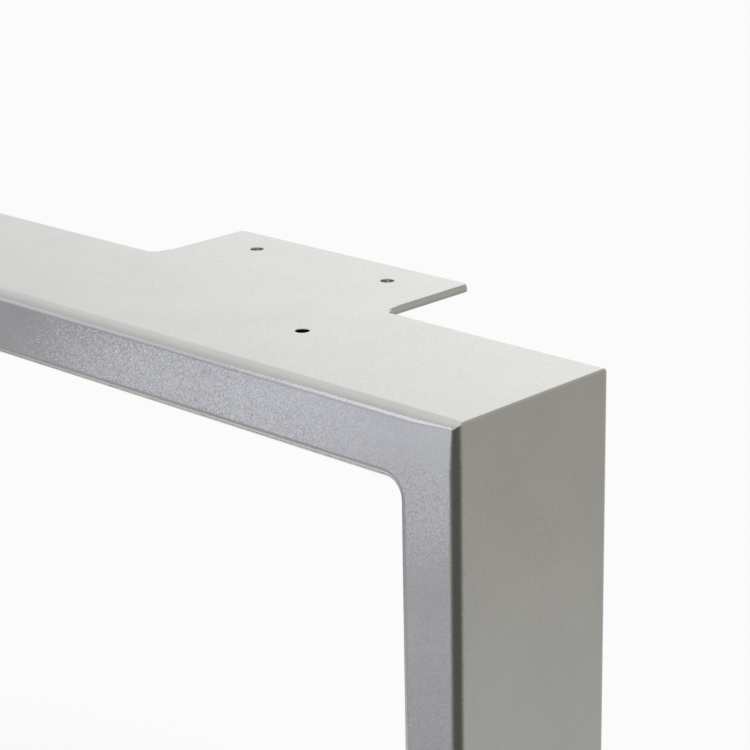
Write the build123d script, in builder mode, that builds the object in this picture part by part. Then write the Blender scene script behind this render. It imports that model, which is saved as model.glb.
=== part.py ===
from build123d import *
import os

# A table leg: a closed frame of mitred rectangular steel tube with two screw brackets, in millimetres.
# The frame stands in the XZ plane with Z up, and the brackets reach towards +Y, under the table top.
# The origin is the centre of the foot rail's underside.

# Frame, over all
frame_length = 620
frame_height = 420

# Tube, the same for all four members
tube_wide = 75
tube_narrow = 25
tube_wall = 2
tube_inner_corner = 2
mitre_edge = 0.8

# Mounting brackets, bent from plate
bracket_plate = 3
bracket_inner_bend = 1
tab_length = 120
tab_reach = 42.5
tab_inset = 98.5
tab_corner = 2
flange_corner = 2

# Screw holes (diameters), placed from the tab's ends, the rail's inner face and the frame's ends
tab_hole = 5
tab_hole_inset = 25.5
tab_hole_reach = 26
rail_hole = 5
rail_hole_inset = 103.5
access_hole = 12

# Welds
corner_weld_leg = 7
corner_weld_throat = 2.4
corner_weld_end = 1.2
seam_weld_depth = 1.8
seam_weld_half_width = 2.8
end_weld_leg = 4
end_weld_throat = 1.3

# Sizes that follow from the ones above
tube_corner = tube_inner_corner + tube_wall
bracket_outer_bend = bracket_inner_bend + bracket_plate
flange_height = tube_narrow
rail_inner_face = tube_wide / 2
tab_centre = frame_length / 2 - tab_inset - tab_length / 2
tab_hole_spacing = tab_length - 2 * tab_hole_inset
rail_hole_spacing = frame_length - 2 * rail_hole_inset

LEFT, RIGHT = -1, 1
FOOT, TOP = -1, 1


def corner_height(level):
    """Height of the frame's outer edge at the foot or at the top."""
    return frame_height / 2 * (1 + level)


def mitre_plane(side, level):
    """The 45 degree cut through one outer corner, with its normal towards the rail's half."""
    outer_corner = (side * frame_length / 2, 0, corner_height(level))
    return Plane(origin=outer_corner, x_dir=(0, 1, 0), z_dir=(-side, 0, level))


def mitred_tube(middle, along, length, cuts, keep):
    """A hollow tube along one direction, cut at both ends and eased along its outer mitred edges."""
    with BuildPart() as tube:
        with BuildSketch(Plane(origin=middle, x_dir=(0, 1, 0), z_dir=along)):
            RectangleRounded(tube_wide, tube_narrow, tube_corner)
            RectangleRounded(
                tube_wide - 2 * tube_wall,
                tube_narrow - 2 * tube_wall,
                tube_inner_corner,
                mode=Mode.SUBTRACT,
            )
        extrude(amount=length / 2, both=True)
        for cut in cuts:
            split(bisect_by=cut, keep=keep)
        frame_back = (0, tube_wide / 2, frame_height / 2)
        with BuildSketch(Plane(origin=frame_back, x_dir=(1, 0, 0), z_dir=(0, -1, 0))):
            RectangleRounded(frame_length, frame_height, mitre_edge)
        extrude(amount=tube_wide, mode=Mode.INTERSECT)
    return tube


def rail(level):
    """The horizontal tube at the foot or at the top."""
    middle = (0, 0, corner_height(level) - level * tube_narrow / 2)
    cuts = [mitre_plane(side, level) for side in (LEFT, RIGHT)]
    return mitred_tube(middle, (1, 0, 0), frame_length, cuts, Keep.TOP)


def upright(side):
    """The vertical tube at the left or at the right."""
    middle = (side * (frame_length - tube_narrow) / 2, 0, frame_height / 2)
    cuts = [mitre_plane(side, level) for level in (FOOT, TOP)]
    return mitred_tube(middle, (0, 0, 1), frame_height, cuts, Keep.BOTTOM)


foot_rail = rail(FOOT)
left_upright = upright(LEFT)
right_upright = upright(RIGHT)

# The top rail has a screw hole over each bracket, with a wider hole below it for the screw's head and driver
with BuildPart() as top_rail:
    add(rail(TOP).part)
    with Locations((0, 0, frame_height)):
        with GridLocations(rail_hole_spacing, tube_wide, 2, 1):
            Hole(radius=rail_hole / 2, depth=2 * tube_wall)
    with Locations((0, 0, frame_height - tube_narrow + 2 * tube_wall)):
        with GridLocations(rail_hole_spacing, tube_wide, 2, 1):
            Hole(radius=access_hole / 2, depth=2 * tube_wall)


def mounting_bracket(side):
    """A bent plate: the screw tab level with the rail's top, and a flange against the rail's inner face."""
    bend_line = (side * tab_centre, rail_inner_face, frame_height)
    with BuildPart() as bracket:
        with BuildSketch(Plane(origin=bend_line, x_dir=(0, 1, 0), z_dir=(1, 0, 0))) as profile:
            Rectangle(tab_reach, bracket_plate, align=(Align.MIN, Align.MAX))
            Rectangle(bracket_plate, flange_height, align=(Align.MIN, Align.MAX))
            fillet(profile.vertices().sort_by_distance((0, 0))[0], bracket_outer_bend)
            inner_corner = (bracket_plate, -bracket_plate)
            fillet(profile.vertices().sort_by_distance(inner_corner)[0], bracket_inner_bend)
        extrude(amount=tab_length / 2, both=True)
        fillet(bracket.edges().filter_by(Axis.Z).group_by(Axis.Y)[-1], tab_corner)
        fillet(bracket.edges().filter_by(Axis.Y).group_by(Axis.Z)[0], flange_corner)
        with Locations((side * tab_centre, rail_inner_face + tab_hole_reach, frame_height)):
            with GridLocations(tab_hole_spacing, tab_reach, 2, 1):
                Hole(radius=tab_hole / 2, depth=2 * bracket_plate)
    return bracket


left_mounting_bracket = mounting_bracket(LEFT)
right_mounting_bracket = mounting_bracket(RIGHT)


def corner_weld(side, level, rail_piece, upright_piece):
    """The hollow-faced bead in one inner corner, from its root in the two walls to its two toes."""
    inner_corner = (
        side * (frame_length / 2 - tube_narrow),
        0,
        corner_height(level) - level * tube_narrow,
    )
    root = (-tube_wall / 2, -tube_wall / 2)
    rail_toe = (corner_weld_leg, 0)
    upright_toe = (0, corner_weld_leg)
    with BuildPart() as weld:
        with BuildSketch(Plane(origin=inner_corner, x_dir=(-side, 0, 0), z_dir=(0, -side * level, 0))):
            with BuildLine():
                Polyline(upright_toe, root, rail_toe)
                ThreePointArc(rail_toe, (corner_weld_throat, corner_weld_throat), upright_toe)
            make_face()
        extrude(amount=tube_wide / 2 - corner_weld_end, both=True)
        add(rail_piece.part, mode=Mode.SUBTRACT)
        add(upright_piece.part, mode=Mode.SUBTRACT)
    return weld


corner_weld_top_left = corner_weld(LEFT, TOP, top_rail, left_upright)
corner_weld_top_right = corner_weld(RIGHT, TOP, top_rail, right_upright)
corner_weld_foot_left = corner_weld(LEFT, FOOT, foot_rail, left_upright)
corner_weld_foot_right = corner_weld(RIGHT, FOOT, foot_rail, right_upright)


def bracket_weld(side, bracket):
    """One bead: it fills the groove along the bend, flush with the top, and turns down both flange ends."""
    with BuildPart() as weld:
        with Locations((side * tab_centre, rail_inner_face, frame_height)):
            Box(
                tab_length,
                2 * seam_weld_half_width,
                seam_weld_depth,
                align=(Align.CENTER, Align.CENTER, Align.MAX),
            )
        for end in (LEFT, RIGHT):
            flange_end = (side * tab_centre + end * tab_length / 2, rail_inner_face, frame_height)
            root = (0, -tube_wall / 2)
            rail_toe = (end_weld_leg, 0)
            flange_toe = (0, bracket_plate)
            with BuildSketch(Plane(origin=flange_end, x_dir=(end, 0, 0), z_dir=(0, 0, end))):
                with BuildLine():
                    Polyline(flange_toe, root, rail_toe)
                    ThreePointArc(rail_toe, (end_weld_throat, end_weld_throat), flange_toe)
                make_face()
            extrude(amount=-end * (flange_height - flange_corner))
        add(top_rail.part, mode=Mode.SUBTRACT)
        add(bracket.part, mode=Mode.SUBTRACT)
    return weld


left_bracket_weld = bracket_weld(LEFT, left_mounting_bracket)
right_bracket_weld = bracket_weld(RIGHT, right_mounting_bracket)

pieces = {
    "top_rail": top_rail,
    "foot_rail": foot_rail,
    "left_upright": left_upright,
    "right_upright": right_upright,
    "left_mounting_bracket": left_mounting_bracket,
    "right_mounting_bracket": right_mounting_bracket,
    "corner_weld_top_left": corner_weld_top_left,
    "corner_weld_top_right": corner_weld_top_right,
    "corner_weld_foot_left": corner_weld_foot_left,
    "corner_weld_foot_right": corner_weld_foot_right,
    "left_bracket_weld": left_bracket_weld,
    "right_bracket_weld": right_bracket_weld,
}

os.makedirs("parts", exist_ok=True)
for name, piece in pieces.items():
    piece.part.label = name
    export_step(piece.part, f"parts/{name}.step")
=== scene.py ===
import math

import bmesh
import bpy
from mathutils import Matrix, Vector


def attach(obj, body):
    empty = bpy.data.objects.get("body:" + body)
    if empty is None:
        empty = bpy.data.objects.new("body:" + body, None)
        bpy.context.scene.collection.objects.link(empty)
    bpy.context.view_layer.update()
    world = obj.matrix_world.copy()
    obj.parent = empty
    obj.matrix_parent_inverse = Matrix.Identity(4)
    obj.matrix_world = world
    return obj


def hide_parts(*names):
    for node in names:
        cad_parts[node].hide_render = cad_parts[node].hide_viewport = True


# A table leg of mitred steel tube under a silver powder coat, dressed over its solids, in metres.
# The frame stands in the XZ plane with Z up, and its screw tabs reach towards +Y.

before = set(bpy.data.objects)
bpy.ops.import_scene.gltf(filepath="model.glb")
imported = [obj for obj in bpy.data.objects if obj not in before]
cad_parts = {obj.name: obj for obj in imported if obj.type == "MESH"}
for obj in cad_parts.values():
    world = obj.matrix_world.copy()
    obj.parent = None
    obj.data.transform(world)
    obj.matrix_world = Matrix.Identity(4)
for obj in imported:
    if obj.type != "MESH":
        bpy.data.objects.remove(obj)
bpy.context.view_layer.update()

# Sizes of the solids
MM = 0.001
FRAME_LENGTH = 620 * MM
FRAME_HEIGHT = 420 * MM
TUBE_WIDE = 75 * MM
TUBE_NARROW = 25 * MM
TUBE_WALL = 2 * MM
TUBE_CORNER = 4 * MM
CAVITY_CORNER = 2 * MM
MITRE_EDGE = 0.8 * MM
PLATE = 3 * MM
PLATE_CORNER = 2 * MM
OUTER_BEND = 4 * MM
FLANGE_HEIGHT = TUBE_NARROW
TAB_LENGTH = 120 * MM
TAB_WIDTH = 42.5 * MM
TAB_INSET = 98.5 * MM
TAB_HOLE_INSET = 25.5 * MM
TAB_HOLE_REACH = 26 * MM
RAIL_HOLE_INSET = 103.5 * MM
SCREW_HOLE_RADIUS = 2.5 * MM
ACCESS_HOLE_RADIUS = 6 * MM

# The frame's ground welds round its inner corners. Over a run before each mitre the front also widens a
# little: its outer edge draws in from the tube's corner to the mitred one.
INNER_FILLET = 5.5 * MM
MITRE_RUN = 15 * MM
MITRED_FRONT_EDGE = 2.4 * MM

# The coat rounds each cut edge a little
HOLE_EDGE = 0.35 * MM
PLATE_EDGE = 0.8 * MM
PLATE_EDGE_DROP = 2 * MM
PLATE_UNDER_EDGE = 0.4 * MM

# Beads at the flange's ends: the inner one's radius, the outer one's, that of both below the tab, the step
# down to it, and how far down they reach
INNER_BEAD = 4.5 * MM
OUTER_BEAD = 2 * MM
LOW_BEAD = 2 * MM
BEAD_STEP = 1.5 * MM
BEAD_DROP = FLANGE_HEIGHT - PLATE_CORNER

# The seam's underside touches the two roundings beside it at these angles from their tops, in radians
SEAM_ANGLES = (0.3, 0.6, 0.9)

# Welds that are flush with a face lie this far under it, so that no two faces share a place
BEAD_SINK = 0.02 * MM
SEAM_SINK = 0.03 * MM

# Sizes that follow from the ones above
SIDES = (-1, 1)
RAIL_BACK = TUBE_WIDE / 2
RAIL_FLAT_EDGE = TUBE_WIDE / 2 - TUBE_CORNER
TAB_CENTRE = FRAME_LENGTH / 2 - TAB_INSET - TAB_LENGTH / 2
TAB_EDGE = RAIL_BACK + TAB_WIDTH
TAB_FLAT = TAB_WIDTH - OUTER_BEND
FLANGE_FLAT = FLANGE_HEIGHT - OUTER_BEND
BEND_RUN = math.pi / 2 * (OUTER_BEND - PLATE / 2)
PLATE_RUN = TAB_FLAT + BEND_RUN + FLANGE_FLAT
RAIL_HOLE_PLACES = [side * (FRAME_LENGTH / 2 - RAIL_HOLE_INSET) for side in SIDES]
TAB_HOLE_PLACES = [side * (TAB_LENGTH / 2 - TAB_HOLE_INSET) for side in SIDES]
TAB_HOLE_RUN = TAB_WIDTH - TAB_HOLE_REACH

# Steps in a quarter turn, and round a hole
ARRIS_STEPS = 8
CORNER_STEPS = 8
BEND_STEPS = 8
EDGE_STEPS = 4
HOLE_STEPS = 40

# Faces that turn more than this from each other meet in a sharp edge
SHARP_COSINE = 0.6


# Mesh building

class Skin:
    """The points and faces of one piece, gathered before they become a mesh."""

    def __init__(self):
        self.points = []
        self.faces = []

    def add_row(self, points):
        """Adds points and returns their numbers."""
        first = len(self.points)
        self.points.extend(Vector(point) for point in points)
        return list(range(first, len(self.points)))

    def add_face(self, corners):
        self.faces.append(tuple(corners))

    def add_strip(self, row, next_row):
        """Four-sided faces between two closed rows of the same length."""
        for step in range(len(row)):
            after = (step + 1) % len(row)
            self.add_face((row[step], row[after], next_row[after], next_row[step]))


def corner_normals(mesh):
    """A normal for each face corner: flats shade flat, roundings shade round, and sharp turns stay sharp.

    It is the mean of the faces round the vertex that turn little from the face itself, where larger faces
    count for more."""
    around = [[] for _ in mesh.vertices]
    for polygon in mesh.polygons:
        for vertex in polygon.vertices:
            around[vertex].append(polygon)
    normals = []
    for polygon in mesh.polygons:
        for vertex in polygon.vertices:
            near = [other for other in around[vertex] if other.normal.dot(polygon.normal) > SHARP_COSINE]
            total = sum((other.normal * other.area for other in near), Vector())
            normals.append(total.normalized())
    return normals


def make_piece(name, skin, material, nodes):
    """Turns a skin into a piece that stands for the given nodes."""
    mesh = bpy.data.meshes.new(name)
    mesh.from_pydata(skin.points, [], skin.faces)
    shell = bmesh.new()
    shell.from_mesh(mesh)
    bmesh.ops.recalc_face_normals(shell, faces=shell.faces)
    shell.to_mesh(mesh)
    shell.free()
    mesh.shade_smooth()
    mesh.normals_split_custom_set(corner_normals(mesh))
    mesh.materials.append(material)
    piece = bpy.data.objects.new(name, mesh)
    bpy.context.scene.collection.objects.link(piece)
    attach(piece, "root")
    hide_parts(*nodes)


def quarter_turn(steps):
    """Angles from 0 to 90 degrees."""
    return [math.pi / 2 * step / steps for step in range(steps + 1)]


def eased_rim(inset, drop):
    """An edge rounded over an inset and a drop, from the face to the side, as (inset, depth) points."""
    angles = quarter_turn(EDGE_STEPS)
    return [(inset * (1 - math.sin(angle)), drop * (1 - math.cos(angle))) for angle in angles]


def circle(centre, radius):
    """Points (x, y) round a hole that is centred on the x axis, from +x towards +y."""
    angles = [2 * math.pi * step / HOLE_STEPS for step in range(HOLE_STEPS)]
    return [(centre + radius * math.cos(angle), radius * math.sin(angle)) for angle in angles]


def drill(skin, centre, radius, upper_place, lower_place):
    """A hole's wall, with an eased edge at both ends.

    The places turn x, y and a depth into a point: the depth under the upper face, or above the lower one.
    Returns the hole's circles in the upper and in the lower face."""
    rim = eased_rim(HOLE_EDGE, HOLE_EDGE)
    levels = [(upper_place, widened, depth) for widened, depth in rim]
    levels.extend((lower_place, widened, depth) for widened, depth in reversed(rim))
    rings = []
    for place, widened, depth in levels:
        rings.append(skin.add_row(place(x, y, depth) for x, y in circle(centre, radius + widened)))
    for ring, next_ring in zip(rings, rings[1:]):
        skin.add_strip(ring, next_ring)
    return rings[0], rings[-1]


def drill_row(skin, centres, radius, upper_place, lower_place):
    """Holes in a row from left to right. Returns their circles in the upper face, and in the lower one."""
    return zip(*[drill(skin, centre, radius, upper_place, lower_place) for centre in centres])


def flat_halves(skin, low_side, high_side, circles):
    """Two faces that meet along a line through the centres of holes.

    Each side runs from the line's right end round to its left end, and holds both of those points: low_side
    on the side of -y, and high_side on that of +y. The circles stand in order from left to right."""
    half = HOLE_STEPS // 2
    low_notches = []
    high_notches = []
    for ring in circles:
        low_notches.extend(ring[half:] + ring[:1])
        high_notches.extend(reversed(ring[:half + 1]))
    skin.add_face(list(low_side) + low_notches)
    skin.add_face(list(high_side) + high_notches)


# The frame: one coated skin over the four tubes and the welds in their corners

def tube_section(half_narrow, half_wide, radius, front_edge):
    """The tube's section as (offset, y) points, with a point in the middle of both narrow sides' flats.

    Its edges have the given radius, but the one at the front's outside takes up only front_edge of the
    front."""

    def edge(offset_sign, y_sign):
        run = front_edge if (offset_sign, y_sign) == (1, -1) else radius
        points = []
        for angle in quarter_turn(ARRIS_STEPS):
            offset = offset_sign * (half_narrow - run + run * math.cos(angle))
            y = y_sign * (half_wide - radius + radius * math.sin(angle))
            points.append((offset, y))
        return points

    section = []
    for sign in (1, -1):
        section.append((sign * half_narrow, 0))
        section.extend(edge(sign, sign))
        section.extend(reversed(edge(-sign, sign)))
    return section


def stepped(spot, angle, distance):
    """The place at a distance from an (x, z) spot, in the direction of an angle from the x axis."""
    return spot[0] + distance * math.cos(angle), spot[1] + distance * math.sin(angle)


# The frame's corners as signs of x and z, from the top right one over the top left one
FRAME_CORNERS = ((1, 1), (-1, 1), (-1, -1), (1, -1))


def frame_loop(along, mitred):
    """A closed loop round the frame, with tight outer corners and round inner ones.

    Both arguments are (offset from the tubes' middle line, y): along the tubes, and at their mitres."""
    offset, y = mitred
    half_x = (FRAME_LENGTH - TUBE_NARROW) / 2 + offset
    half_z = (FRAME_HEIGHT - TUBE_NARROW) / 2 + offset
    radius = MITRE_EDGE if offset > 0 else INNER_FILLET + TUBE_NARROW / 2 + offset
    tube_radius = radius + along[0] - offset
    points = []
    for quarter, (x_sign, z_sign) in enumerate(FRAME_CORNERS):
        centre = (x_sign * (half_x - radius), FRAME_HEIGHT / 2 + z_sign * (half_z - radius))
        angles = [quarter * math.pi / 2 + turn for turn in quarter_turn(CORNER_STEPS)]
        before = stepped(stepped(centre, angles[0], tube_radius), angles[-1], -MITRE_RUN)
        after = stepped(stepped(centre, angles[-1], tube_radius), angles[0], -MITRE_RUN)
        spots = [(before, along[1])]
        spots.extend((stepped(centre, angle, radius), y) for angle in angles)
        spots.append((after, along[1]))
        points.extend((x, depth, z) for (x, z), depth in spots)
    return points


# Places in a loop where the top rail's plain length starts and ends
TOP_RIGHT = CORNER_STEPS + 2
TOP_LEFT = TOP_RIGHT + 1


def frame_shell(skin, half_narrow, half_wide, radius, mitred_front_edge):
    """The loops of one wall face, with the top rail's two narrow flats left open for their holes.

    The front's outer edge draws in to the mitred one at the corners.
    Returns the flats as (low side, high side) outlines for flat_halves: the upper one and the lower one."""
    section = tube_section(half_narrow, half_wide, radius, radius)
    mitred_section = tube_section(half_narrow, half_wide, radius, mitred_front_edge)
    loops = [skin.add_row(frame_loop(along, mitred)) for along, mitred in zip(section, mitred_section)]
    flats = []
    for middle in (0, len(section) // 2):
        before = loops[middle - 1]
        line = loops[middle]
        after = loops[middle + 1]
        low, high = (before, after) if section[middle - 1][1] < 0 else (after, before)
        sides = [(line[TOP_RIGHT], row[TOP_RIGHT], row[TOP_LEFT], line[TOP_LEFT]) for row in (low, high)]
        flats.append(sides)
    opened = {frozenset(side) for sides in flats for side in sides}
    first_face = len(skin.faces)
    for number, loop in enumerate(loops):
        skin.add_strip(loop, loops[(number + 1) % len(loops)])
    skin.faces[first_face:] = [face for face in skin.faces[first_face:] if frozenset(face) not in opened]
    return flats


def drill_wall(skin, wall_top, radius, upper_flat, lower_flat):
    """The two holes through one wall of the top rail, and the wall's two flats round them."""

    def upper_place(x, y, depth):
        return x, y, wall_top - depth

    def lower_place(x, y, depth):
        return x, y, wall_top - TUBE_WALL + depth

    upper, lower = drill_row(skin, RAIL_HOLE_PLACES, radius, upper_place, lower_place)
    flat_halves(skin, *upper_flat, upper)
    flat_halves(skin, *lower_flat, lower)


def frame_skin():
    """The hollow frame, with its screw holes through the top wall and wider access holes below them."""
    skin = Skin()
    outside = frame_shell(skin, TUBE_NARROW / 2, TUBE_WIDE / 2, TUBE_CORNER, MITRED_FRONT_EDGE)
    cavity = (TUBE_NARROW / 2 - TUBE_WALL, TUBE_WIDE / 2 - TUBE_WALL)
    inside = frame_shell(skin, *cavity, CAVITY_CORNER, CAVITY_CORNER)
    lower_wall_top = FRAME_HEIGHT - TUBE_NARROW + TUBE_WALL
    drill_wall(skin, FRAME_HEIGHT, SCREW_HOLE_RADIUS, outside[0], inside[0])
    drill_wall(skin, lower_wall_top, ACCESS_HOLE_RADIUS, inside[1], outside[1])
    return skin


# A mounting bracket: a plate with eased edges, bent from the screw tab down to the flange

def bent(side, x, run, depth):
    """Where a point of the unbent plate lies: run from the tab's free edge, depth under its upper face."""
    x = side * TAB_CENTRE + x
    if run <= TAB_FLAT:
        return x, TAB_EDGE - run, FRAME_HEIGHT - depth
    centre_y = RAIL_BACK + OUTER_BEND
    centre_z = FRAME_HEIGHT - OUTER_BEND
    angle = min((run - TAB_FLAT) / BEND_RUN, 1) * math.pi / 2
    y = centre_y - (OUTER_BEND - depth) * math.sin(angle)
    z = centre_z + (OUTER_BEND - depth) * math.cos(angle)
    below = max(run - TAB_FLAT - BEND_RUN, 0)
    return x, y, z - below


def plate_side():
    """The right half of the unbent plate's outline, as (point, outward) pairs.

    It runs from the tab's free edge to the flange's."""
    half = TAB_LENGTH / 2
    tab_corner = Vector((half - PLATE_CORNER, PLATE_CORNER))
    flange_corner = Vector((half - PLATE_CORNER, PLATE_RUN - PLATE_CORNER))
    places = []
    for angle in quarter_turn(EDGE_STEPS):
        outward = Vector((math.sin(angle), -math.cos(angle)))
        places.append((tab_corner + outward * PLATE_CORNER, outward))
    runs = [TAB_HOLE_RUN] + [TAB_FLAT + BEND_RUN * step / BEND_STEPS for step in range(BEND_STEPS + 1)]
    places.extend((Vector((half, run)), Vector((1, 0))) for run in runs)
    for angle in quarter_turn(EDGE_STEPS):
        outward = Vector((math.cos(angle), math.sin(angle)))
        places.append((flange_corner + outward * PLATE_CORNER, outward))
    return places


def plate_face(skin, right, left, circles):
    """One face of the bent plate, from its right and left outlines, which run from the tab's free edge."""
    holes = EDGE_STEPS + 1
    bend = holes + 1
    flange = bend + BEND_STEPS
    free_edge = list(reversed(right[:holes + 1])) + left[:holes + 1]
    bend_edge = [right[holes], right[bend], left[bend], left[holes]]
    flat_halves(skin, bend_edge, free_edge, circles)
    for step in range(bend, flange):
        skin.add_face((right[step], right[step + 1], left[step + 1], left[step]))
    skin.add_face(right[flange:] + list(reversed(left[flange:])))


def bracket_skin(side):
    """The plate's rim in rows from its upper face to its lower one, its two holes, and both faces."""
    skin = Skin()
    right_places = plate_side()
    left_places = [(Vector((-point.x, point.y)), Vector((-out.x, out.y))) for point, out in right_places]
    outline = right_places + list(reversed(left_places))
    upper_rim = eased_rim(PLATE_EDGE, PLATE_EDGE_DROP)
    under_rim = eased_rim(PLATE_UNDER_EDGE, PLATE_UNDER_EDGE)
    lower_rim = [(inset, PLATE - depth) for inset, depth in reversed(under_rim)]
    rows = []
    for inset, depth in upper_rim + lower_rim:
        eased = [point - outward * inset for point, outward in outline]
        rows.append(skin.add_row(bent(side, point.x, point.y, depth) for point in eased))
    for row, next_row in zip(rows, rows[1:]):
        skin.add_strip(row, next_row)

    def upper_place(x, y, depth):
        return bent(side, x, TAB_HOLE_RUN - y, depth)

    def lower_place(x, y, depth):
        return bent(side, x, TAB_HOLE_RUN - y, PLATE - depth)

    upper, lower = drill_row(skin, TAB_HOLE_PLACES, SCREW_HOLE_RADIUS, upper_place, lower_place)
    half = len(right_places)
    for row, circles in ((rows[0], upper), (rows[-1], lower)):
        plate_face(skin, row[:half], list(reversed(row[half:])), circles)
    return skin


# A bracket weld: the groove along the bend filled flush, and a hollow-faced bead down each end of the flange

def seam(skin, side):
    """The filled groove between the rail's back edge and the bracket's bend."""
    weld_top = FRAME_HEIGHT - SEAM_SINK
    bend_side = [
        (RAIL_BACK + OUTER_BEND * (1 - math.sin(angle)), weld_top - OUTER_BEND * (1 - math.cos(angle)))
        for angle in SEAM_ANGLES
    ]
    rail_side = [
        (RAIL_FLAT_EDGE + TUBE_CORNER * math.sin(angle), weld_top - TUBE_CORNER * (1 - math.cos(angle)))
        for angle in reversed(SEAM_ANGLES)
    ]
    section = [(RAIL_FLAT_EDGE, weld_top), (RAIL_BACK + OUTER_BEND, weld_top)] + bend_side + rail_side
    ends = []
    for end in SIDES:
        x = side * TAB_CENTRE + end * TAB_LENGTH / 2
        ends.append(skin.add_row((x, y, z) for y, z in section))
    skin.add_strip(*ends)
    skin.add_face(ends[0])
    skin.add_face(ends[1])


def bead_face(out, radius):
    """How far a bead's hollow face stands off the rail's back, at a distance out from the flange's end."""
    left = radius - min(max(out, 0), radius)
    return radius - math.sqrt(radius ** 2 - left ** 2)


def bead_slice(x, out, radius):
    """The outline of a bead in the plane of x, at a distance out from the flange's end."""
    corner = PLATE_EDGE + (TUBE_CORNER - PLATE_EDGE) * max(out, 0) / radius
    beside_tab = RAIL_BACK + bead_face(out, radius) - BEAD_SINK
    below_tab = RAIL_BACK + bead_face(out, min(radius, LOW_BEAD)) - BEAD_SINK
    weld_top = FRAME_HEIGHT - BEAD_SINK
    weld_foot = FRAME_HEIGHT - BEAD_DROP
    points = [(x, RAIL_FLAT_EDGE, weld_top)]
    for angle in quarter_turn(EDGE_STEPS):
        y = beside_tab - corner * (1 - math.sin(angle))
        points.append((x, y, weld_top - corner * (1 - math.cos(angle))))
    points.append((x, below_tab, weld_top - max(PLATE, corner) - BEAD_STEP))
    points.append((x, below_tab, weld_foot))
    points.append((x, RAIL_FLAT_EDGE, weld_foot))
    return points


def end_bead(skin, side, end):
    """The bead at one end of the flange, hollow-faced in plan, wide beside the tab and slim below it."""
    radius = INNER_BEAD if end == -side else OUTER_BEAD
    flange_end = side * TAB_CENTRE + end * TAB_LENGTH / 2
    stations = [-PLATE_EDGE] + [radius * (1 - math.cos(angle)) for angle in quarter_turn(ARRIS_STEPS)]
    slices = [skin.add_row(bead_slice(flange_end + end * out, out, radius)) for out in stations]
    for row, next_row in zip(slices, slices[1:]):
        skin.add_strip(row, next_row)
    skin.add_face(slices[0])
    skin.add_face(slices[-1])


def bracket_weld_skin(side):
    """The seam along the bend, and the beads at both ends of the flange."""
    skin = Skin()
    seam(skin, side)
    for end in SIDES:
        end_bead(skin, side, end)
    return skin


# Nodes that the materials and the studio are made of

def new_material(name):
    """An empty node material, its node tree and its output node."""
    material = bpy.data.materials.new(name)
    material.use_nodes = True
    tree = material.node_tree
    tree.nodes.clear()
    output = tree.nodes.new("ShaderNodeOutputMaterial")
    return material, tree, output


def combined(tree, operation, first, second):
    """A number worked out from two others."""
    node = tree.nodes.new("ShaderNodeMath")
    node.operation = operation
    tree.links.new(first, node.inputs[0])
    tree.links.new(second, node.inputs[1])
    return node.outputs["Value"]


def vector_math(tree, operation, first, second=None, scale=None):
    """A vector, or a number for a length or a dot product, worked out from one or two vectors."""
    node = tree.nodes.new("ShaderNodeVectorMath")
    node.operation = operation
    tree.links.new(first, node.inputs[0])
    if scale is not None:
        node.inputs["Scale"].default_value = scale
    elif isinstance(second, tuple):
        node.inputs[1].default_value = second
    elif second is not None:
        tree.links.new(second, node.inputs[1])
    return node.outputs["Value" if operation in ("LENGTH", "DOT_PRODUCT") else "Vector"]


def smooth_ramp(tree, value, low, high):
    """0 to 1 as a value goes from low to high."""
    node = tree.nodes.new("ShaderNodeMapRange")
    node.interpolation_type = "SMOOTHSTEP"
    node.inputs["From Min"].default_value = low
    node.inputs["From Max"].default_value = high
    tree.links.new(value, node.inputs["Value"])
    return node.outputs["Result"]


def blended(tree, factor, first, second):
    """A colour that turns from first to second."""
    node = tree.nodes.new("ShaderNodeMix")
    node.data_type = "RGBA"
    tree.links.new(factor, node.inputs["Factor"])
    for socket, colour in (("A", first), ("B", second)):
        if isinstance(colour, tuple):
            node.inputs[socket].default_value = colour
        else:
            tree.links.new(colour, node.inputs[socket])
    return node.outputs["Result"]


def mixed(tree, factor, first, second):
    """A shader that turns from first to second."""
    node = tree.nodes.new("ShaderNodeMixShader")
    if isinstance(factor, float):
        node.inputs["Fac"].default_value = factor
    else:
        tree.links.new(factor, node.inputs["Fac"])
    tree.links.new(first, node.inputs[1])
    tree.links.new(second, node.inputs[2])
    return node.outputs["Shader"]


def rays(tree, *kinds):
    """1 for rays of the named kinds, and 0 for the others."""
    path = tree.nodes.new("ShaderNodeLightPath")
    total = path.outputs[kinds[0]]
    for kind in kinds[1:]:
        total = combined(tree, "MAXIMUM", total, path.outputs[kind])
    return total


# The coat: its two colours, how much of the light one it has, and its roughness, both from cloud to cloud

COAT_DARK = (0.53, 0.53, 0.53, 1)
COAT_LIGHT = (0.61, 0.61, 0.60, 1)
LIGHT_SHARES = (0.3, 0.7)
COAT_ROUGHNESS = (0.10, 0.14)
FLAKE_SIZE = 0.28 * MM
FLAKE_TILT = 0.042
PEEL_SIZE = 1.6 * MM
PEEL_DETAIL = 2
PEEL_HEIGHT = 0.004 * MM
CLOUD_SIZE = 28 * MM
CLOUD_DETAIL = 4

# Most values of a noise lie in this range, and a random colour's mean is the middle grey
NOISE_RANGE = (0.3, 0.7)
MIDDLE_GREY = (0.5, 0.5, 0.5)


def noise(tree, place, size, detail):
    """A soft random pattern with features of about the given size."""
    node = tree.nodes.new("ShaderNodeTexNoise")
    node.inputs["Scale"].default_value = 1 / size
    node.inputs["Detail"].default_value = detail
    tree.links.new(place, node.inputs["Vector"])
    return node.outputs["Fac"]


def spread(tree, value, limits):
    """Stretches a noise to run between two limits."""
    node = tree.nodes.new("ShaderNodeMapRange")
    node.inputs["From Min"].default_value, node.inputs["From Max"].default_value = NOISE_RANGE
    node.inputs["To Min"].default_value, node.inputs["To Max"].default_value = limits
    tree.links.new(value, node.inputs["Value"])
    return node.outputs["Result"]


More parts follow.
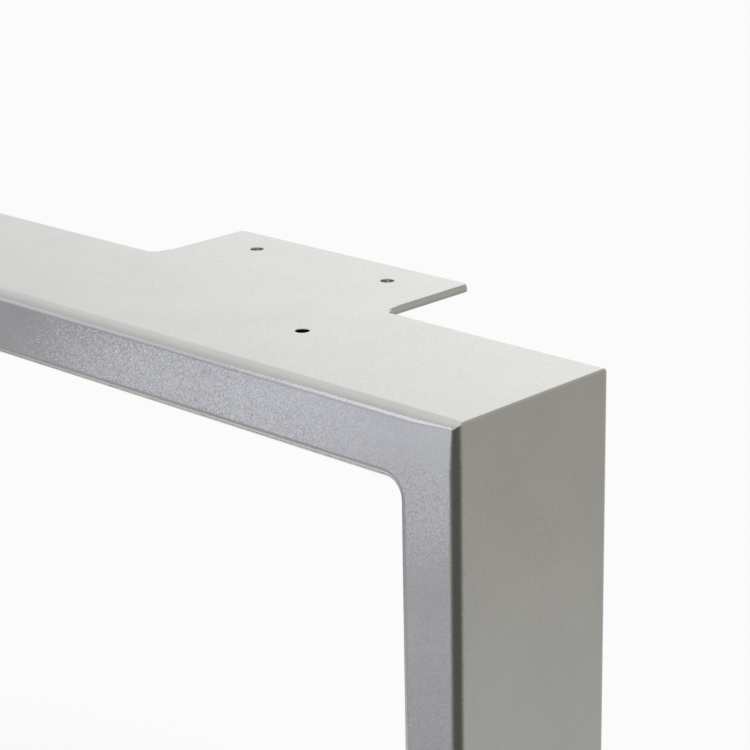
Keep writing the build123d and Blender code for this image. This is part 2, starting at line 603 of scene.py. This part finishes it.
def flake_normal(tree, place):
    """The surface's normal, tilted a little by each metal flake."""
    flakes = tree.nodes.new("ShaderNodeTexVoronoi")
    flakes.inputs["Scale"].default_value = 1 / FLAKE_SIZE
    tree.links.new(place, flakes.inputs["Vector"])
    centred = vector_math(tree, "SUBTRACT", flakes.outputs["Color"], MIDDLE_GREY)
    tilt = vector_math(tree, "SCALE", centred, scale=2 * FLAKE_TILT)
    face_normal = tree.nodes.new("ShaderNodeNewGeometry").outputs["Normal"]
    return vector_math(tree, "NORMALIZE", vector_math(tree, "ADD", face_normal, tilt))


def peeled(tree, place, normal):
    """A normal with a faint orange peel."""
    peel = tree.nodes.new("ShaderNodeBump")
    peel.inputs["Distance"].default_value = PEEL_HEIGHT
    tree.links.new(noise(tree, place, PEEL_SIZE, PEEL_DETAIL), peel.inputs["Height"])
    tree.links.new(normal, peel.inputs["Normal"])
    return peel.outputs["Normal"]


def powder_coat():
    """Silver powder coat: metal flakes that tilt a little, a faint orange peel and a cloudy gloss."""
    material, tree, output = new_material("silver_powder_coat")
    place = tree.nodes.new("ShaderNodeTexCoord").outputs["Object"]
    normal = peeled(tree, place, flake_normal(tree, place))
    cloud = noise(tree, place, CLOUD_SIZE, CLOUD_DETAIL)
    colour = blended(tree, spread(tree, cloud, LIGHT_SHARES), COAT_DARK, COAT_LIGHT)
    shader = tree.nodes.new("ShaderNodeBsdfPrincipled")
    shader.inputs["Metallic"].default_value = 1
    tree.links.new(colour, shader.inputs["Base Color"])
    tree.links.new(spread(tree, cloud, COAT_ROUGHNESS), shader.inputs["Roughness"])
    tree.links.new(normal, shader.inputs["Normal"])
    tree.links.new(shader.outputs["BSDF"], output.inputs["Surface"])
    return material


coat = powder_coat()
make_piece(
    "coated_frame",
    frame_skin(),
    coat,
    [
        "top_rail",
        "foot_rail",
        "left_upright",
        "right_upright",
        "corner_weld_top_left",
        "corner_weld_top_right",
        "corner_weld_foot_left",
        "corner_weld_foot_right",
    ],
)
for side_name, side in (("left", -1), ("right", 1)):
    make_piece(f"{side_name}_coated_bracket", bracket_skin(side), coat, [f"{side_name}_mounting_bracket"])
    make_piece(f"{side_name}_coated_weld", bracket_weld_skin(side), coat, [f"{side_name}_bracket_weld"])


# The floor: a pale oval that fades out into the white surround

BACKGROUND = (0.965, 0.965, 0.965, 1)
FLOOR_COLOUR = (0.88, 0.88, 0.87, 1)
FLOOR_HALF_LENGTH = 0.66
FLOOR_HALF_WIDTH = 0.36
FLOOR_SEGMENTS = 96

# How much of the floor's look is the background's white, and where it fades out, as shares of its radius
FLOOR_WHITE = 0.6
FLOOR_FADE = (0.45, 0.98)


def floor_material():
    """Pale floor that keeps a soft shadow and fades out towards its rim."""
    material, tree, output = new_material("pale_floor")
    plain = tree.nodes.new("ShaderNodeBsdfDiffuse")
    plain.inputs["Color"].default_value = FLOOR_COLOUR
    white = tree.nodes.new("ShaderNodeEmission")
    white.inputs["Color"].default_value = BACKGROUND
    lit = mixed(tree, FLOOR_WHITE, plain.outputs["BSDF"], white.outputs["Emission"])
    seen = rays(tree, "Is Camera Ray", "Is Glossy Ray", "Is Transmission Ray")
    shown = mixed(tree, seen, plain.outputs["BSDF"], lit)
    place = tree.nodes.new("ShaderNodeTexCoord").outputs["Object"]
    fade = smooth_ramp(tree, vector_math(tree, "LENGTH", place), *FLOOR_FADE)
    clear = tree.nodes.new("ShaderNodeBsdfTransparent")
    faded = mixed(tree, fade, shown, clear.outputs["BSDF"])
    tree.links.new(faded, output.inputs["Surface"])
    return material


def add_floor():
    mesh = bpy.data.meshes.new("floor")
    disc = bmesh.new()
    bmesh.ops.create_circle(disc, cap_ends=True, segments=FLOOR_SEGMENTS, radius=1)
    disc.to_mesh(mesh)
    disc.free()
    mesh.materials.append(floor_material())
    floor = bpy.data.objects.new("floor", mesh)
    floor.scale = (FLOOR_HALF_LENGTH, FLOOR_HALF_WIDTH, 1)
    bpy.context.scene.collection.objects.link(floor)


# The studio that the coat mirrors. Each zone has the direction of its middle, and the cosines with that
# direction at which the zone starts and at which it is full.
GROUND = ((0, 0, -1), 0.25, 0.5)
RIGHT_SIDE = ((0.66, 0.75, 0), -0.5, 0.5)
UPPER_HALF = ((0, 0, 1), -0.15, 0.25)
CEILING = ((0, 0.5, 0.866), 0.0, 0.75)
SHADED_SIDE = ((0.55, 0.68, 0.48), 0.75, 0.92)
BACKDROP = ((-0.42, 0.91, 0), 0.80, 1.0)
CAMERA_SIDE = ((0.707, -0.636, -0.31), 0.42, 0.95)
LOWER_HALF = ((0, 0, -1), 0.0, 0.2)

# Colours of the studio
LEFT_COLOUR = (0.50, 0.50, 0.525, 1)
LEFT_GROUND_COLOUR = (0.495, 0.485, 0.50, 1)
RIGHT_COLOUR = (0.448, 0.418, 0.366, 1)
RIGHT_GROUND_COLOUR = (0.58, 0.58, 0.555, 1)
UPPER_COLOUR = (0.77, 0.77, 0.765, 1)
CEILING_COLOUR = (0.97, 0.97, 0.95, 1)
SHADED_COLOUR = (0.54, 0.535, 0.52, 1)
BACKDROP_COLOUR = (1.32, 1.32, 1.29, 1)
DIM_COLOUR = (0.13, 0.125, 0.115, 1)


def within(tree, direction, zone):
    """0 to 1 as a direction turns from the outside of a zone into it."""
    middle, start, full = zone
    return smooth_ramp(tree, vector_math(tree, "DOT_PRODUCT", direction, middle), start, full)


def studio_colour(tree, direction):
    """The colour of the studio in a direction."""
    ground = within(tree, direction, GROUND)
    left = blended(tree, ground, LEFT_COLOUR, LEFT_GROUND_COLOUR)
    right = blended(tree, ground, RIGHT_COLOUR, RIGHT_GROUND_COLOUR)
    room = blended(tree, within(tree, direction, RIGHT_SIDE), left, right)
    room = blended(tree, within(tree, direction, UPPER_HALF), room, UPPER_COLOUR)
    room = blended(tree, within(tree, direction, CEILING), room, CEILING_COLOUR)
    room = blended(tree, within(tree, direction, SHADED_SIDE), room, SHADED_COLOUR)
    # The coat mirrors the white backdrop where it hangs, and the studio everywhere else
    mirrored = combined(tree, "MULTIPLY", rays(tree, "Is Glossy Ray"), within(tree, direction, BACKDROP))
    room = blended(tree, mirrored, room, BACKDROP_COLOUR)
    # The room is dim on the camera's side, below the horizon
    lower = within(tree, direction, LOWER_HALF)
    dimmed = combined(tree, "MULTIPLY", within(tree, direction, CAMERA_SIDE), lower)
    return blended(tree, dimmed, room, DIM_COLOUR)


def studio_world():
    """A soft studio round the leg, which the camera itself sees as plain white."""
    world = bpy.data.worlds.new("studio")
    bpy.context.scene.world = world
    world.use_nodes = True
    tree = world.node_tree
    tree.nodes.clear()
    direction = tree.nodes.new("ShaderNodeTexCoord").outputs["Generated"]
    studio = tree.nodes.new("ShaderNodeBackground")
    tree.links.new(studio_colour(tree, direction), studio.inputs["Color"])
    backdrop = tree.nodes.new("ShaderNodeBackground")
    backdrop.inputs["Color"].default_value = BACKGROUND
    seen = rays(tree, "Is Camera Ray", "Is Transmission Ray")
    shown = mixed(tree, seen, studio.outputs["Background"], backdrop.outputs["Background"])
    output = tree.nodes.new("ShaderNodeOutputWorld")
    tree.links.new(shown, output.inputs["Surface"])


# The softbox stands at the front left. Places along it are measured on its face, towards the camera's side.
SOFTBOX_MIDDLE = Vector((-0.117, -0.469, 0))
SOFTBOX_ALONG = Vector((0.72, -0.69, 0))
SOFTBOX_FACING = Vector((0.69, 0.72, 0))
SOFTBOX_TINT = (0.92, 0.97, 1.1)

# Panels of the softbox: their start and end along it, their lower and upper heights, and their brightness
BAND = ((-0.19, -0.05), (0.222, 0.25), 0.75)
BAND_SLANT = -21
WIDE_PANEL = ((-0.075, 0.4), (0.145, 0.42), 0.21)
LEFT_STRIP = ((-0.3, -0.05), (0.35, 0.52), 0.22)
RIGHT_STRIP = ((-0.05, 0.4), (0.42, 0.66), 0.5)

# Slats of the softbox, each from a lower edge upwards
SLAT_ALONG = (-0.06, 0.4)
SLAT_LOWER_EDGES = (0.02, 0.09, 0.16, 0.23)
SLAT_HEIGHT = 0.03
SLAT_BRIGHTNESS = 0.22

# The band and the slats stand this far in front of the wide panel
FORWARD_STEP = 0.01

OVERHEAD_PLACE = (-0.3, 0.1, 2.2)
OVERHEAD_TARGET = (0, 0, 0)
OVERHEAD_SIZE = (1.2, 1.2)
OVERHEAD_POWER = 6
OVERHEAD_TINT = (1, 1, 1)


def add_lamp(name, place, target, size, power, colour):
    """A rectangular lamp that shines from a place towards a target, and isn't seen itself."""
    data = bpy.data.lights.new(name, "AREA")
    data.shape = "RECTANGLE"
    data.size, data.size_y = size
    data.energy = power
    data.color = colour
    lamp = bpy.data.objects.new(name, data)
    lamp.location = place
    away = Vector(place) - Vector(target)
    lamp.rotation_euler = away.to_track_quat("Z", "Y").to_euler()
    lamp.visible_camera = False
    bpy.context.scene.collection.objects.link(lamp)
    return lamp


def add_softbox(name, along, height, brightness, slant=0, forward=0):
    """A panel of the softbox between two places along it and two heights, of an even brightness.

    A slant in degrees turns it about its middle, and raises its end at the camera's side.
    A panel in front of another one stands forward of it."""
    width = along[1] - along[0]
    tall = height[1] - height[0]
    place = SOFTBOX_MIDDLE + SOFTBOX_ALONG * sum(along) / 2 + Vector((0, 0, sum(height) / 2))
    place += SOFTBOX_FACING * forward
    power = brightness * math.pi * width * tall
    lamp = add_lamp(name, place, place + SOFTBOX_FACING, (width, tall), power, SOFTBOX_TINT)
    lamp.rotation_euler.rotate_axis("Z", math.radians(slant))


def add_lamps():
    """The softbox that the front mirrors, in panels, and a faint overhead lamp for the floor.

    A slanted band lights the rail, a wide panel with slats the corner and the upright, and two strips the
    top's front edge."""
    add_softbox("band", *BAND, slant=BAND_SLANT, forward=FORWARD_STEP)
    add_softbox("softbox", *WIDE_PANEL)
    for number, low in enumerate(SLAT_LOWER_EDGES):
        height = (low, low + SLAT_HEIGHT)
        add_softbox(f"slat_{number}", SLAT_ALONG, height, SLAT_BRIGHTNESS, forward=FORWARD_STEP)
    add_softbox("left_strip", *LEFT_STRIP)
    add_softbox("right_strip", *RIGHT_STRIP)
    overhead = add_lamp(
        "overhead", OVERHEAD_PLACE, OVERHEAD_TARGET, OVERHEAD_SIZE, OVERHEAD_POWER, OVERHEAD_TINT
    )
    overhead.visible_glossy = False


# The camera stands at the near corner's right, at the photograph's viewing angle
CAMERA_PLACE = Vector((736.6, -511.8, 646.3)) * MM
CAMERA_FORWARD = Vector((-0.66107, 0.68196, -0.31304)).normalized()
CAMERA_UP = Vector((-0.2043, 0.2382, 0.9495))
CAMERA_LENS = 108.97
CAMERA_CLIP_START = 0.01
SENSOR_WIDTH = 36


def add_camera():
    data = bpy.data.cameras.new("camera")
    data.lens = CAMERA_LENS
    data.sensor_width = SENSOR_WIDTH
    data.clip_start = CAMERA_CLIP_START
    camera = bpy.data.objects.new("camera", data)
    right = CAMERA_FORWARD.cross(CAMERA_UP).normalized()
    up = right.cross(CAMERA_FORWARD)
    turn = Matrix((right, up, -CAMERA_FORWARD)).transposed()
    camera.matrix_world = Matrix.Translation(CAMERA_PLACE) @ turn.to_4x4()
    bpy.context.scene.collection.objects.link(camera)
    bpy.context.scene.camera = camera


add_floor()
studio_world()
add_lamps()
add_camera()
bpy.context.scene.view_settings.view_transform = "Standard"
